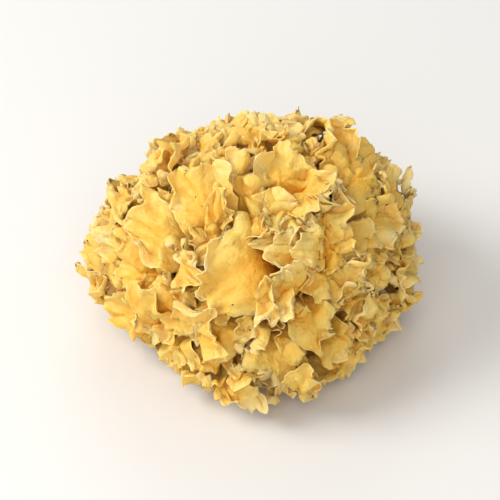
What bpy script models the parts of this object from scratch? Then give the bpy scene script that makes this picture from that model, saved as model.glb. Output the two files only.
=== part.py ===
"""A dried snow fungus: crisped, folded fronds that fork from one holdfast, cut flat where it grew.

+Z is up and the origin is the middle of the cut face, which the fungus rests on.
Lengths are in millimetres until metres() turns them into Blender's units.

Every frond is grown. It starts as a short line on the holdfast's head and moves outwards on a dome that
swells around it. Meanwhile the line gets several times longer than there is room for, so it has to fold.
The lines push one another apart, so the folds fill the whole dome and never cross. The path that a line
sweeps on its way out is the frond's sheet. In the end petals unfold from the outer bends of the rims and lie
over the folds, one above the other where they overlap.
"""

import math

import bmesh
import bpy
import numpy as np
from mathutils.bvhtree import BVHTree

# The whole clump is a dome. Its half sizes are measured from the heart, the point that the fronds grow away
# from.
HEART = np.array([0.0, 0.0, 10.5])
HALF_WIDTH = 31.2
HALF_DEPTH = 29.0
RISE = 31.6
DROOP = 14.0

# The dome is uneven. Each bulge, or dent where it is negative: its azimuth from +X and polar angle from
# straight up, how wide it is in degrees, and how high it is as a share of the dome's size.
BULGES = (
    (29, 50, 32, 0.09),
    (150, 46, 38, -0.10),
    (-178, 74, 28, 0.04),
    (-142, 90, 34, -0.19),
    (-84, 92, 22, 0.06),
    (-36, 92, 26, -0.08),
    (-60, 30, 30, 0.03),
    (70, 40, 24, -0.05),
    (110, 80, 26, 0.05),
)

# The holdfast is the tough stump in the middle: a rounded head on a foot that was sliced off its log.
HEAD_RADIUS = 8.4
NECK_RADIUS = 8.0
NECK_HEIGHT = 3.6
FOOT_RADIUS = 10.8
FOOT_HEIGHT = 1.4
FOOT_BEVEL = 0.8
HEAD_ANGLES = (-36, -12, 12, 36, 56, 74)
HOLDFAST_SIDES = 20

# It is lumpy round about. Each lump: how many there are around, its share of the depth, and how far it turns
# for each millimetre of height.
LUMP_DEPTH = 0.5
LUMPS = ((3, 0.3, 0.3), (7, 0.2, -0.5))

# Each frond is one folded sheet, made of rows from root to rim and of columns along the fold. Between the
# root and the rim there is one middle row. The columns stand closer where the rim bends, up to a sharpness in
# 1/mm. The folds at the root are those that the growing line had at its first moment, as a share of its whole
# growth.
SHEET_THICKNESS = 0.5
ROOT_RADIUS = HEAD_RADIUS + 0.45
ROOT_LENGTH = 4.0
ROOT_BOW = 0.05
MIDDLE_DEPTH = 0.6
COLUMNS = 32
BEND_CARE = 0.5
MOST_BEND = 1.0
FIRST_MOMENT = 0.85

# How the fronds grow, in steps, some of which are recorded. A line gets nodes so close, and a length that
# grows by a power of the dome's depth.
SEED = 43
STEPS = 360
RECORDS = 40
FIRST_NODES = 11
NODE_SPACING = 1.5
GROWTH_POWER = 1.3

# The gap that lines keep from each other at the roots and at the rims, and how firmly. A weak push reaches
# wider and evens the folds out. Along one line the gap may shrink to a share of the way between two nodes.
ROOT_GAP = 2.4
RIM_GAP = 3.6
PUSH = 0.9
WIDE_REACH = 2.2
WIDE_PUSH = 0.3
BEND_ROOM = 0.6

# A line evens out its bends so many times each step, and stretches towards its length in so many passes, each
# by a share of what is missing.
STIFFNESS = 2
STRETCH_PASSES = 3
STRETCH = 0.35

# How far the nodes wander at random each step, and along how many nodes one pull acts.
WANDER = 0.06
WANDER_SPAN = 12

# How far a node may stray over a neighbour's border, how firmly it is drawn back, and how far at most.
BORDER_PLAY = 3.0
BORDER_PULL = 0.25
MOST_STRAYED = 3.0

# How high the fronds stay above the ground, and how much of what is missing is made up each step.
LOWEST = 1.8
LIFT = 0.7

# How much wider than the dome that they grew on the rims spread in the end.
SPREAD = 0.03

# How the sheets lean over near the rim. Each swirl: how far it moves a rim, how wide it is, how late it acts
# and its seed.
SWIRLS = ((8.0, 34.0, 2.0, 11), (3.2, 17.0, 2.6, 12))
SWIRL_WAVES = 6
LEAN_STEPS = 6

# The leaning fades out near the ground: how far below the heart it ends and over what height, as shares of
# the way out.
CALM_END = -0.27
CALM_BAND = 0.42

# How often the rim is cut between its lobes and how deep, as a share of the frond's length. The lobes are not
# evenly wide: their cuts drift to and fro along the rim.
LOBES = ((3, 0.10), (8, 0.09))
LOBE_DRIFT = 0.4
LOBE_DRIFT_RATE = 2.3
LOBE_SEED = 70

# Petals are lobes that unfold from an outer bend of a rim and lie over their neighbours. The main ones:
# azimuth and polar angle of the place they rise from and of the place they point to, and their length.
PETALS = {
    "saddle": (-78, 38, -113, 54, 12.0),
    "big_flap": (2, 32, 21, 63, 11.0),
    "knob_leaf": (-131, 22, 122, 35, 9.0),
    "left_lobe": (-146, 53, -175, 72, 9.0),
    "lower_left_flap": (-121, 54, -135, 73, 9.0),
    "hanging_lobe": (-82, 66, -80, 83, 8.0),
    "square_flap": (-66, 55, -55, 69, 8.0),
    "rose_curl": (-80, 50, -81, 59, 5.0),
    "upper_middle": (-2, 11, -60, 18, 8.0),
    "bottom_sheet": (-101, 66, -103, 79, 8.0),
    "middle_right": (-29, 30, -56, 35, 7.0),
}

# A main petal takes the bend that misses its place least, where pointing the wrong way counts as so many
# millimetres. The others have these shortest and longest lengths: the long ones take their places first.
POINTING = 9.0
PETAL_SEED = 5
PETAL_LENGTHS = ((7.5, 10.0), (5.5, 7.5), (3.5, 5.5))
MOST_PETALS = 5

# Rims are sampled at even steps, and their bends are read from so many samples, softened.
RIM_SAMPLES = 2001
RIM_STEP = 0.1
SOFTENING = 23

# Which bends can bear a petal: the sharpest within a window, how sharp they are at least, in 1/mm, and how
# wide the petal's root is along the rim. It ends where the rim has turned too far or bends the other way.
BEND_WINDOW = 2.0
LEAST_BEND = 0.2
NARROWEST_ROOT = 2.0
WIDEST_SIDE = 5.5
MOST_TURN = 78.0
LEAST_TURN = 0.03

# A petal fans out from the middle of its bend, whose radius is kept between two. Its shape is rounded by a
# power, and its ends keep a share of its length. It lies down at a knee, so far out or at a share of its way.
BEND_RADII = (1.2, 4.0)
ROUNDING = 0.75
PETAL_END = 0.12
KNEE_OUT = 0.8
KNEE_SHARE = 0.5

# Petals that overlap lie at different levels over the dome, and keep away from others' roots and the ground.
# Their places are compared at points this far apart, along the root and outwards.
LEVELS = (1.2, 2.6, 4.0)
PETAL_ROOM = 1.5
ROOT_ROOM = 0.75
ROOT_MARGIN = 2.4
PETAL_LOWEST = 2.0
ALONG_STEP = 1.0
OUT_STEP = 1.5
FIRST_SHARE = 0.2

# A petal that would come closer than the gap to another frond is tried again with these shares of its length.
PETAL_TRIES = (1.0, 0.85, 0.7, 0.55)
PETAL_GAP = 0.3

# Each frond: azimuth from +X, polar angle from straight up, roll of its root line, length of its rim, and
# how far it reaches towards the dome. The viewer stands towards -Y.
FRONDS = {
    "frond_crown_left": (168, 20, 70, 100, 1.00),
    "frond_crown_right": (-22, 20, 25, 103, 0.98),
    "frond_crown_front": (-108, 27, 95, 95, 0.97),
    "frond_crown_back": (74, 30, 10, 103, 0.98),
    "frond_shoulder_left": (176, 52, 80, 109, 0.98),
    "frond_left": (-149, 56, 15, 109, 1.00),
    "frond_middle": (-108, 55, 160, 78, 0.95),
    "frond_curl": (-73, 52, 60, 100, 0.98),
    "frond_shoulder_right": (-37, 50, 105, 109, 0.97),
    "frond_flap": (22, 48, 30, 90, 1.00),
    "frond_back_right": (71, 59, 75, 109, 0.98),
    "frond_back_left": (126, 54, 20, 109, 0.99),
    "frond_skirt_left": (-127, 80, 110, 97, 0.97),
    "frond_hanging": (-87, 81, 85, 88, 0.99),
    "frond_skirt_right": (-50, 79, 70, 97, 0.97),
    "frond_right": (-9, 74, 95, 109, 1.00),
    "frond_skirt_back_right": (36, 81, 100, 97, 0.97),
    "frond_skirt_back": (92, 83, 70, 97, 0.98),
    "frond_skirt_back_left": (142, 82, 105, 97, 0.97),
    "frond_skirt_side": (-171, 81, 75, 97, 0.98),
}

# Colour and roughness.
FROND_FINISH = ((0.83, 0.58, 0.22, 1.0), 0.5)
HOLDFAST_FINISH = ((0.50, 0.28, 0.08, 1.0), 0.65)


def metres(points):
    """Millimetres to Blender's metres."""
    return np.asarray(points, float) * 0.001


def unit(vectors):
    """Vectors of length one."""
    return vectors / np.linalg.norm(vectors, axis=-1, keepdims=True)


def direction(azimuth, polar):
    """The unit vector at an azimuth from +X and a polar angle from +Z, in degrees."""
    a, p = math.radians(azimuth), math.radians(polar)
    return np.array([math.sin(p) * math.cos(a), math.sin(p) * math.sin(a), math.cos(p)])


def shell_radius(directions, depth):
    """How far the swelling dome lies from the heart: depth 0 is round the roots, depth 1 is the full size."""
    half_sizes = np.empty(directions.shape)
    half_sizes[..., 0] = HALF_WIDTH
    half_sizes[..., 1] = HALF_DEPTH
    half_sizes[..., 2] = np.where(directions[..., 2] < 0, DROOP, RISE)
    full = 1.0 / np.linalg.norm(directions / half_sizes, axis=-1)
    uneven = 1.0
    for azimuth, polar, width, height in BULGES:
        nearness = directions @ direction(azimuth, polar) - 1
        uneven = uneven + height * np.exp(nearness / (1 - math.cos(math.radians(width))))
    return ROOT_RADIUS + (full * uneven - ROOT_RADIUS) * depth


def onto_shell(lines, depth):
    """Lines moved straight out from the heart onto the dome of one depth, and up where they near ground."""
    directions = unit(lines - HEART)
    radius = shell_radius(directions, depth)
    below = LOWEST - HEART[2] - directions[..., 2] * radius
    lift = LIFT * np.maximum(below, 0.0) / radius
    directions = unit(directions + lift[..., None] * np.array([0.0, 0.0, 1.0]))
    return HEART + shell_radius(directions, depth)[..., None] * directions


def root_lines(random):
    """The short, slightly bent lines that the fronds start from, on the holdfast's head."""
    along_line = np.linspace(-0.5, 0.5, FIRST_NODES)
    lines = []
    for azimuth, polar, roll, _, _ in FRONDS.values():
        axis = direction(azimuth, polar)
        level = unit(np.cross([0.0, 0.0, 1.0], axis))
        turn = math.radians(roll)
        along = math.cos(turn) * level + math.sin(turn) * np.cross(axis, level)
        bends = ROOT_BOW * random.normal(size=3)
        bow = bends[0] * np.cos(2 * np.pi * along_line) + bends[1] * np.sin(2 * np.pi * along_line)
        bow = bow + bends[2] * np.sin(4 * np.pi * along_line)
        ahead = along_line[:, None] * along * ROOT_LENGTH / ROOT_RADIUS
        lines.append(axis + ahead + bow[:, None] * np.cross(axis, along))
    return onto_shell(HEART + ROOT_RADIUS * unit(np.array(lines)), 0.0)


def add_middles(lines):
    """Every line with a node more between each two, set by its four nearest nodes."""
    count = lines.shape[1]
    finer = np.empty((len(lines), 2 * count - 1, 3))
    finer[:, ::2] = lines
    finer[:, 1::2] = 0.5 * (lines[:, 1:] + lines[:, :-1])
    near = lines[:, 1:-2] + lines[:, 2:-1]
    far = lines[:, :-3] + lines[:, 3:]
    finer[:, 3:-3:2] = (9 * near - far) / 16
    return finer


def near_pairs(lines, spacing, gap):
    """Pairs of nodes that may be too close, each with the distance that it should keep.

    Two nodes of one frond may be nearer than the gap where they are near along the line, as on a round bend.
    """
    count = lines.shape[1]
    nodes = lines.reshape(-1, 3)
    squares = (nodes**2).sum(axis=1)
    apart = squares[:, None] + squares[None] - 2 * nodes @ nodes.T
    first, second = np.nonzero(np.triu(apart < gap**2, 2))
    along = np.where(first // count == second // count, (second - first) * spacing[first // count], np.inf)
    wanted = np.minimum(gap, BEND_ROOM * along)
    close = apart[first, second] < wanted**2
    return first[close], second[close], wanted[close]


def push_apart(lines, pairs, push):
    """Moves nodes that are too close away from each other."""
    nodes = lines.reshape(-1, 3)
    first, second, wanted = pairs
    between = nodes[first] - nodes[second]
    distance = np.linalg.norm(between, axis=1) + 1e-9
    strength = 0.5 * push * np.maximum(wanted - distance, 0.0) / distance
    move = np.zeros_like(nodes)
    for axis in range(3):
        shove = strength * between[:, axis]
        move[:, axis] = np.bincount(first, shove, len(nodes)) - np.bincount(second, shove, len(nodes))
    crowd = np.bincount(np.concatenate([first, second]), minlength=len(nodes))
    return lines + (move / np.maximum(1.0, 0.5 * crowd)[:, None]).reshape(lines.shape)


def keep_in_cell(lines, axes):
    """Draws nodes back that are nearer to another frond's axis than to their own."""
    own_frond = np.arange(len(axes))
    outwards = lines - HEART
    directions = unit(outwards)
    likeness = directions @ axes.T
    own = likeness[own_frond, :, own_frond]
    likeness[own_frond, :, own_frond] = -2.0
    strayed = (likeness.max(axis=-1) - own) * np.linalg.norm(outwards, axis=-1) - BORDER_PLAY
    pull = BORDER_PULL * np.clip(strayed, 0.0, MOST_STRAYED)
    return lines + pull[..., None] * (axes[:, None] - own[..., None] * directions)


def stiffen(lines):
    """Evens out sharp bends, which is what makes the folds wide."""
    for _ in range(STIFFNESS):
        lines = lines.copy()
        lines[:, 1:-1] = 0.5 * lines[:, 1:-1] + 0.25 * (lines[:, 2:] + lines[:, :-2])
    return lines


def lengthen(lines, spacing):
    """Moves neighbouring nodes towards the distance that the frond has grown to."""
    lines = lines.copy()
    for _ in range(STRETCH_PASSES):
        for start in (0, 1):
            after = lines[:, start + 1 :: 2]
            before = lines[:, start:-1:2][:, : after.shape[1]]
            step = after - before
            length = np.linalg.norm(step, axis=-1, keepdims=True) + 1e-9
            change = STRETCH * (length - spacing[:, None, None]) / length * step
            before += change
            after -= change
    return lines


def grow():
    """Lets all fronds grow together and returns their lines at every recorded depth, as directions."""
    random = np.random.default_rng(SEED)
    axes = np.array([direction(frond[0], frond[1]) for frond in FRONDS.values()])
    rim_lengths = np.array([frond[3] for frond in FRONDS.values()], float)
    lines = root_lines(random)
    records = [lines]
    for step in range(1, STEPS + 1):
        depth = step / STEPS
        lengths = ROOT_LENGTH + (rim_lengths - ROOT_LENGTH) * depth**GROWTH_POWER
        if np.mean(lengths) > NODE_SPACING * (lines.shape[1] - 1):
            lines = add_middles(lines)
        spacing = lengths / (lines.shape[1] - 1)
        gap = ROOT_GAP + (RIM_GAP - ROOT_GAP) * depth
        knots = max(2, lines.shape[1] // WANDER_SPAN)
        pulls = random.normal(size=(len(lines), knots + 1, 3))
        places = np.linspace(0, knots, lines.shape[1])
        before = np.minimum(places.astype(int), knots - 1)
        blend = (places - before)[None, :, None]
        lines = lines + WANDER * ((1 - blend) * pulls[:, before] + blend * pulls[:, before + 1])
        lines = push_apart(lines, near_pairs(lines, spacing, WIDE_REACH * gap), WIDE_PUSH)
        lines = push_apart(lines, near_pairs(lines, spacing, gap), PUSH)
        lines = lengthen(stiffen(keep_in_cell(lines, axes)), spacing)
        lines = onto_shell(lines, depth)
        if step * RECORDS // STEPS > (step - 1) * RECORDS // STEPS:
            records.append(lines)
    for place, record in enumerate(records):
        while record.shape[1] < lines.shape[1]:
            record = add_middles(record)
        records[place] = unit(record - HEART)
    return np.stack(records, axis=1)


def spline_weights(places, count):
    """For each place along a row of points: its four nearest points and their weights in a cubic spline."""
    first = np.clip(np.floor(places).astype(int), 0, count - 2)
    rest = places - first
    weights = (
        (1 - rest) ** 3 / 6,
        (3 * rest**3 - 6 * rest**2 + 4) / 6,
        (-3 * rest**3 + 3 * rest**2 + 3 * rest + 1) / 6,
        rest**3 / 6,
    )
    return [(np.clip(first + shift, 0, count - 1), weight) for shift, weight in zip((-1, 0, 1, 2), weights)]


def line_directions(record, moment, u):
    """The directions of one frond at a grid of moments in its growth and places along its line."""
    found = 0.0
    for row, row_weight in spline_weights(moment * (record.shape[0] - 1), record.shape[0]):
        for column, column_weight in spline_weights(u * (record.shape[1] - 1), record.shape[1]):
            found = found + (row_weight * column_weight)[..., None] * record[row, column]
    return unit(found)


def lean(directions, depth):
    """Turns directions over as they near the dome, all together, so that neighbours nest and never cross."""
    for reach, width, lateness, seed in SWIRLS:
        for _ in range(LEAN_STEPS):
            random = np.random.default_rng(seed)
            flow = 0.0
            for _ in range(SWIRL_WAVES):
                across = unit(random.normal(size=3)) * 2 * np.pi * HALF_WIDTH
                across = across / (width * random.uniform(0.75, 1.35))
                turn_axis = unit(random.normal(size=3))
                wave = np.sin(directions @ across + random.uniform(0, 2 * np.pi))
                flow = flow + wave[..., None] * np.cross(turn_axis, directions)
            calm = np.clip((directions[..., 2:] - CALM_END) / CALM_BAND, 0.0, 1.0)
            strength = reach / HALF_WIDTH / math.sqrt(SWIRL_WAVES) / LEAN_STEPS
            directions = unit(directions + strength * calm * depth[..., None] ** lateness * flow)
    return directions


def lobe_cut(place, u):
    """The share of a frond's length that is missing between its lobes, at places along its line."""
    random = np.random.default_rng(LOBE_SEED + place)
    cut = 0.0
    for rate, share in LOBES:
        wave = np.sin(2 * np.pi * (LOBE_DRIFT_RATE * u + random.uniform()))
        place_along = rate * u + random.uniform() + LOBE_DRIFT * wave
        cut = cut + share * (1 - np.abs(np.sin(np.pi * place_along)))
    return cut


def grown_points(record, depth, u):
    """Points of the grown sheet, before its petals unfold."""
    moment = FIRST_MOMENT + (1 - FIRST_MOMENT) * depth
    leaning = lean(line_directions(record, moment, u), depth)
    radius = shell_radius(leaning, depth) * (1 + SPREAD * depth)
    return HEART + radius[..., None] * leaning


def unfold(points, fan, out, up):
    """Points moved over the dome, out along the fan, and up from it."""
    away = points - HEART
    turned = unit(away + out[..., None] * fan)
    swell = shell_radius(turned, 1.0) / shell_radius(unit(away), 1.0)
    return HEART + (np.linalg.norm(away, axis=-1) * swell + up)[..., None] * turned


def sample_rim(record):
    """A frond's full rim at even steps: its places along the line, points, tangents, way out and bends."""
    u = np.linspace(0, 1, RIM_SAMPLES)
    points = grown_points(record, np.ones(RIM_SAMPLES), u)
    way = np.concatenate([[0.0], np.cumsum(np.linalg.norm(np.diff(points, axis=0), axis=1))])
    even = np.arange(0.0, way[-1], RIM_STEP)
    points = np.stack([np.interp(even, way, points[:, axis]) for axis in range(3)], axis=1)
    soft = np.hanning(SOFTENING)
    padded = np.pad(points, ((SOFTENING // 2, SOFTENING // 2), (0, 0)), mode="edge")
    calm = [np.convolve(padded[:, axis], soft / soft.sum(), mode="valid") for axis in range(3)]
    calm = np.stack(calm, axis=1)
    tangents = unit(np.gradient(calm, axis=0))
    outwards = unit(calm - HEART)
    bends = np.gradient(tangents, axis=0) / RIM_STEP
    bends = bends - (bends * outwards).sum(axis=1, keepdims=True) * outwards
    u = np.interp(even, way, u)
    u[-1] = 1.0
    return {"u": u, "points": points, "tangents": tangents, "outwards": outwards, "bends": bends}


def outer_bends(place, rim):
    """Every outer bend of a rim that can bear a petal, with the petal's root and fan."""
    sharpness = np.linalg.norm(rim["bends"], axis=1)
    turn = (np.cross(rim["tangents"], rim["bends"]) * rim["outwards"]).sum(axis=1)
    side = round(WIDEST_SIDE / RIM_STEP)
    window = round(BEND_WINDOW / RIM_STEP)
    margin = round(ROOT_MARGIN / RIM_STEP)
    found = []
    for at in range(side, len(sharpness) - side):
        if sharpness[at] < max(LEAST_BEND, sharpness[at - window : at + window + 1].max()):
            continue
        past = rim["tangents"] @ rim["tangents"][at] < math.cos(math.radians(MOST_TURN))
        past |= turn * np.sign(turn[at]) < LEAST_TURN
        before = np.nonzero(past[:at])[0]
        after = np.nonzero(past[at:])[0]
        left = max(at - side, before[-1] if len(before) else 0)
        right = min(at + side, at + after[0] if len(after) else len(sharpness) - 1)
        if right - left < NARROWEST_ROOT / RIM_STEP:
            continue
        steps = np.arange(left, right + 1)
        share = np.where(steps < at, (steps - left) / max(at - left, 1), (right - steps) / max(right - at, 1))
        pointing = -unit(rim["bends"][at])
        fan = rim["points"][steps] - rim["points"][at] + np.clip(1 / sharpness[at], *BEND_RADII) * pointing
        outwards = rim["outwards"][steps]
        found.append({
            "frond": place,
            "at": at,
            "steps": steps,
            "point": rim["points"][at],
            "pointing": pointing,
            "bell": np.sin(0.5 * np.pi * (PETAL_END + (1 - PETAL_END) * share)) ** ROUNDING,
            "fan": unit(fan - (fan * outwards).sum(axis=1, keepdims=True) * outwards),
            "root": rim["points"][steps],
            "foot": rim["points"][max(left - margin, 0) : right + margin + 1 : margin // 2],
        })
    return found


def footprint(bend, length):
    """Points all over the part of the dome that a petal covers."""
    some = slice(None, None, round(ALONG_STEP / RIM_STEP))
    out = np.linspace(FIRST_SHARE, 1.0, round(length / OUT_STEP))[:, None] * length * bend["bell"][some]
    root = np.broadcast_to(bend["root"][some], out.shape + (3,))
    fan = np.broadcast_to(bend["fan"][some], out.shape + (3,))
    return unfold(root, fan, out, np.zeros(out.shape)).reshape(-1, 3)


def apart(first, second):
    """The least distance between two sets of points."""
    return np.sqrt(((first[:, None] - second[None]) ** 2).sum(axis=-1).min())


def free_level(bend, length, chosen):
    """The lowest level that keeps a new petal clear of the chosen ones, or None.

    A petal that rises under another one must stay below it, and two that only overlap take different levels.
    """
    covered = footprint(bend, length)
    full = sum(petal["frond"] == bend["frond"] for petal in chosen) == MOST_PETALS
    if full or covered[:, 2].min() < PETAL_LOWEST:
        return None
    below, above, taken = len(LEVELS), -1, set()
    for petal in chosen:
        if np.linalg.norm(petal["point"] - bend["point"]) > length + petal["length"] + 2 * WIDEST_SIDE:
            continue
        if apart(bend["foot"], petal["foot"]) < ROOT_ROOM:
            return None
        if apart(bend["foot"], petal["covered"]) < PETAL_ROOM:
            below = min(below, petal["level"])
        if apart(covered, petal["foot"]) < PETAL_ROOM:
            above = max(above, petal["level"])
        if apart(covered, petal["covered"]) < PETAL_ROOM:
            taken.add(petal["level"])
    free = [level for level in range(above + 1, below) if level not in taken]
    return free[0] if free else None


def place_on_dome(azimuth, polar):
    """The point of the full dome at an azimuth and a polar angle."""
    way = direction(azimuth, polar)
    return HEART + shell_radius(way, 1.0) * way


def choose_petals(rims):
    """The main petals take the bends that lie and point best, then the others fill the room that is left."""
    random = np.random.default_rng(PETAL_SEED)
    bends = [bend for place, rim in enumerate(rims) for bend in outer_bends(place, rim)]
    chosen = []

    def take(bend, length):
        level = free_level(bend, length, chosen)
        if level is not None:
            chosen.append(dict(bend, length=length, level=level, covered=footprint(bend, length)))
        return level is not None

    for azimuth, polar, to_azimuth, to_polar, length in PETALS.values():
        start = place_on_dome(azimuth, polar)
        wanted = unit(place_on_dome(to_azimuth, to_polar) - start)
        misses = [
            np.linalg.norm(bend["point"] - start) + POINTING * (1 - bend["pointing"] @ wanted)
            for bend in bends
        ]
        for index in np.argsort(misses):
            if take(bends[index], length):
                break
    for shortest, longest in PETAL_LENGTHS:
        for index in random.permutation(len(bends)):
            take(bends[index], random.uniform(shortest, longest))
    return chosen


def column_places(rim):
    """Places of a frond's columns along its rim, in samples: closer together where the rim bends."""
    turning = np.minimum(np.linalg.norm(rim["bends"], axis=1), MOST_BEND)
    weight = 1 / len(turning) + BEND_CARE * turning / turning.sum()
    covered = np.concatenate([[0.0], np.cumsum(weight[1:])])
    places = np.interp(np.linspace(0, covered[-1], COLUMNS + 1), covered, np.arange(len(turning)))
    return np.round(places).astype(int)


def petal_columns(at, petal):
    """The first and last column of a petal's root: the nearest to its ends, with its tip between them."""
    tip = int(np.argmin(np.abs(at - petal["at"])))
    first = min(int(np.argmin(np.abs(at - petal["steps"][0]))), tip - 1)
    last = max(int(np.argmin(np.abs(at - petal["steps"][-1]))), tip + 1)
    return max(first, 1), min(last, COLUMNS - 1)


def frond_sheet(frond, petals):
    """The middle surface of one frond: its points and faces.

    The rows are the root, the middle and the top, which is the rim or a petal's knee. Then come the petals.
    """
    at = column_places(frond["rim"])
    u = frond["rim"]["u"][at]
    rim_depth = frond["reach"] * (1 - lobe_cut(frond["place"], u))
    roots = [petal_columns(at, petal) for petal in petals]
    for first, last in roots:
        rim_depth[first : last + 1] = 1.0
    rows = [grown_points(frond["record"], share * rim_depth, u) for share in (0.0, MIDDLE_DEPTH, 1.0)]
    points = np.concatenate(rows)
    faces = grid_faces(2, COLUMNS)
    for petal, (first, last) in zip(petals, roots):
        root = np.arange(first, last + 1)
        nearest = np.clip(at[root], petal["steps"][0], petal["steps"][-1]) - petal["steps"][0]
        fan = petal["fan"][nearest]
        out = petal["length"] * petal["bell"][nearest]
        up = LEVELS[petal["level"]]
        knees = 2 * (COLUMNS + 1) + root
        edge = len(points) + root - first
        points[knees] = unfold(rows[2][root], fan, np.minimum(KNEE_OUT, KNEE_SHARE * out), up)
        points = np.concatenate([points, unfold(rows[2][root], fan, out, up)])
        faces += np.stack([knees[:-1], knees[1:], edge[1:], edge[:-1]], axis=1).tolist()
    return points, faces


def set_sheet(frond, petals):
    """Gives a frond's object its sheet with some petals."""
    mesh = frond["object"].data
    points, faces = frond_sheet(frond, petals)
    mesh.clear_geometry()
    mesh.from_pydata(metres(points).tolist(), [], faces)
    mesh.shade_smooth()


def solid_faces(frond, thickness):
    """The faces of the solid that a frond's sheet becomes with a thickness: as a tree, and their corners."""
    frond["object"].modifiers["thickness"].thickness = thickness * 0.001
    bpy.context.view_layer.update()
    solid = frond["object"].evaluated_get(bpy.context.evaluated_depsgraph_get()).to_mesh()
    corners = [tuple(face.vertices) for face in solid.polygons]
    return BVHTree.FromPolygons([vertex.co[:] for vertex in solid.vertices], corners), corners


def try_petal(frond, petal, others):
    """Adds a petal to a frond, and takes it back if the frond then crosses itself or comes near others."""
    petals = frond["petals"] + [petal]
    set_sheet(frond, petals)
    wide, _ = solid_faces(frond, SHEET_THICKNESS + 2 * PETAL_GAP)
    tree, corners = solid_faces(frond, SHEET_THICKNESS)
    pairs = [(corners[one], corners[other]) for one, other in tree.overlap(tree)]
    if any(wide.overlap(other) for other in others) or any(not set(one) & set(other) for one, other in pairs):
        set_sheet(frond, frond["petals"])
        return False
    frond["petals"], frond["tree"] = petals, tree
    return True


def unfold_petals(fronds):
    """Unfolds every chosen petal that touches nothing, shorter than chosen if need be."""
    for petal in choose_petals([frond["rim"] for frond in fronds]):
        others = [other["tree"] for other in fronds if other["place"] != petal["frond"]]
        for share in PETAL_TRIES:
            if try_petal(fronds[petal["frond"]], dict(petal, length=share * petal["length"]), others):
                break


def new_object(name, mesh, finish):
    """Adds a smooth-shaded object with a plain material of its own."""
    colour, roughness = finish
    material = bpy.data.materials.new(name + "_material")
    material.use_nodes = True
    shader = material.node_tree.nodes["Principled BSDF"]
    shader.inputs["Base Color"].default_value = colour
    shader.inputs["Roughness"].default_value = roughness
    mesh.materials.append(material)
    mesh.shade_smooth()
    made = bpy.data.objects.new(name, mesh)
    bpy.context.collection.objects.link(made)
    return made


def grid_faces(rows, columns):
    """The quads of a grid of rows and columns."""
    first = np.arange(rows)[:, None] * (columns + 1) + np.arange(columns)
    quads = np.stack([first, first + 1, first + columns + 2, first + columns + 1], axis=-1)
    return quads.reshape(-1, 4).tolist()


def make_frond(name, record, place, reach):
    """One frond: its folded sheet without petals, given its thickness evenly to both sides."""
    made = new_object(name, bpy.data.meshes.new(name), FROND_FINISH)
    thicken = made.modifiers.new("thickness", "SOLIDIFY")
    thicken.offset = 0.0
    thicken.use_even_offset = False
    frond = {"object": made, "record": record, "rim": sample_rim(record), "place": place, "reach": reach}
    frond["petals"] = []
    set_sheet(frond, [])
    frond["tree"], _ = solid_faces(frond, SHEET_THICKNESS)
    return frond


def holdfast_profile():
    """Radius and height of the holdfast from the rim of its cut face up to its crown."""
    profile = [(FOOT_RADIUS, 0.0), (FOOT_RADIUS, 0.5 * FOOT_HEIGHT), (FOOT_RADIUS - FOOT_BEVEL, FOOT_HEIGHT)]
    profile.append((NECK_RADIUS, NECK_HEIGHT))
    for degrees in HEAD_ANGLES:
        turn = math.radians(degrees)
        profile.append((HEAD_RADIUS * math.cos(turn), HEART[2] + HEAD_RADIUS * math.sin(turn)))
    return profile


def make_holdfast():
    """The stump: rings of the profile, lumpy around, closed by a flat cut face and a crown point."""
    build = bmesh.new()
    rings = []
    for radius, height in holdfast_profile():
        ring = []
        for side in range(HOLDFAST_SIDES):
            turn = 2 * math.pi * side / HOLDFAST_SIDES
            lump = 0.5
            for count, share, drift in LUMPS:
                lump += share * math.sin(count * turn + drift * height)
            around = radius - LUMP_DEPTH * lump
            point = (around * math.cos(turn), around * math.sin(turn), height)
            ring.append(build.verts.new(metres(point)))
        rings.append(ring)
    for lower, upper in zip(rings, rings[1:]):
        for side in range(HOLDFAST_SIDES):
            after = (side + 1) % HOLDFAST_SIDES
            build.faces.new((lower[side], lower[after], upper[after], upper[side]))
    build.faces.new(list(reversed(rings[0])))
    crown = build.verts.new(metres((0, 0, HEART[2] + HEAD_RADIUS - 0.5 * LUMP_DEPTH)))
    for side in range(HOLDFAST_SIDES):
        build.faces.new((rings[-1][side], rings[-1][(side + 1) % HOLDFAST_SIDES], crown))
    mesh = bpy.data.meshes.new("holdfast")
    build.to_mesh(mesh)
    build.free()
    return new_object("holdfast", mesh, HOLDFAST_FINISH)


def main():
    for old in list(bpy.data.objects):
        bpy.data.objects.remove(old)
    make_holdfast()
    records = grow()
    unfold_petals([
        make_frond(name, records[place], place, values[4])
        for place, (name, values) in enumerate(FRONDS.items())
    ])


main()
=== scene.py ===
# A dried snow fungus: crisped, folded fronds that fork from one holdfast, cut flat where it grew.
# Shapes are worked out in millimetres and turned into metres only as they become meshes.

import math
import time

import bpy
import numpy as np
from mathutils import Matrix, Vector


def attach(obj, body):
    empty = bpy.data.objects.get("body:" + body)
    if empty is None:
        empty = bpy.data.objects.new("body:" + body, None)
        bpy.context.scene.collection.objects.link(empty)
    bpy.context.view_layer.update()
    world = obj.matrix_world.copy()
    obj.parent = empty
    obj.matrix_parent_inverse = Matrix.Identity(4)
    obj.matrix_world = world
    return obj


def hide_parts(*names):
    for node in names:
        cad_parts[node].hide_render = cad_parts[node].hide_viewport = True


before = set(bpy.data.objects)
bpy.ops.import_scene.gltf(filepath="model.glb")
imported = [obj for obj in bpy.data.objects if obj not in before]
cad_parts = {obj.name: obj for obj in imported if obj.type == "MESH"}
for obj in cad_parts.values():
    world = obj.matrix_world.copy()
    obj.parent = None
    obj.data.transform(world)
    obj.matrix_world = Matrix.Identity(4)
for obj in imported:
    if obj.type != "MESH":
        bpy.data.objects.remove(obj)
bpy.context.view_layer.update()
startTime = time.time()


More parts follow.
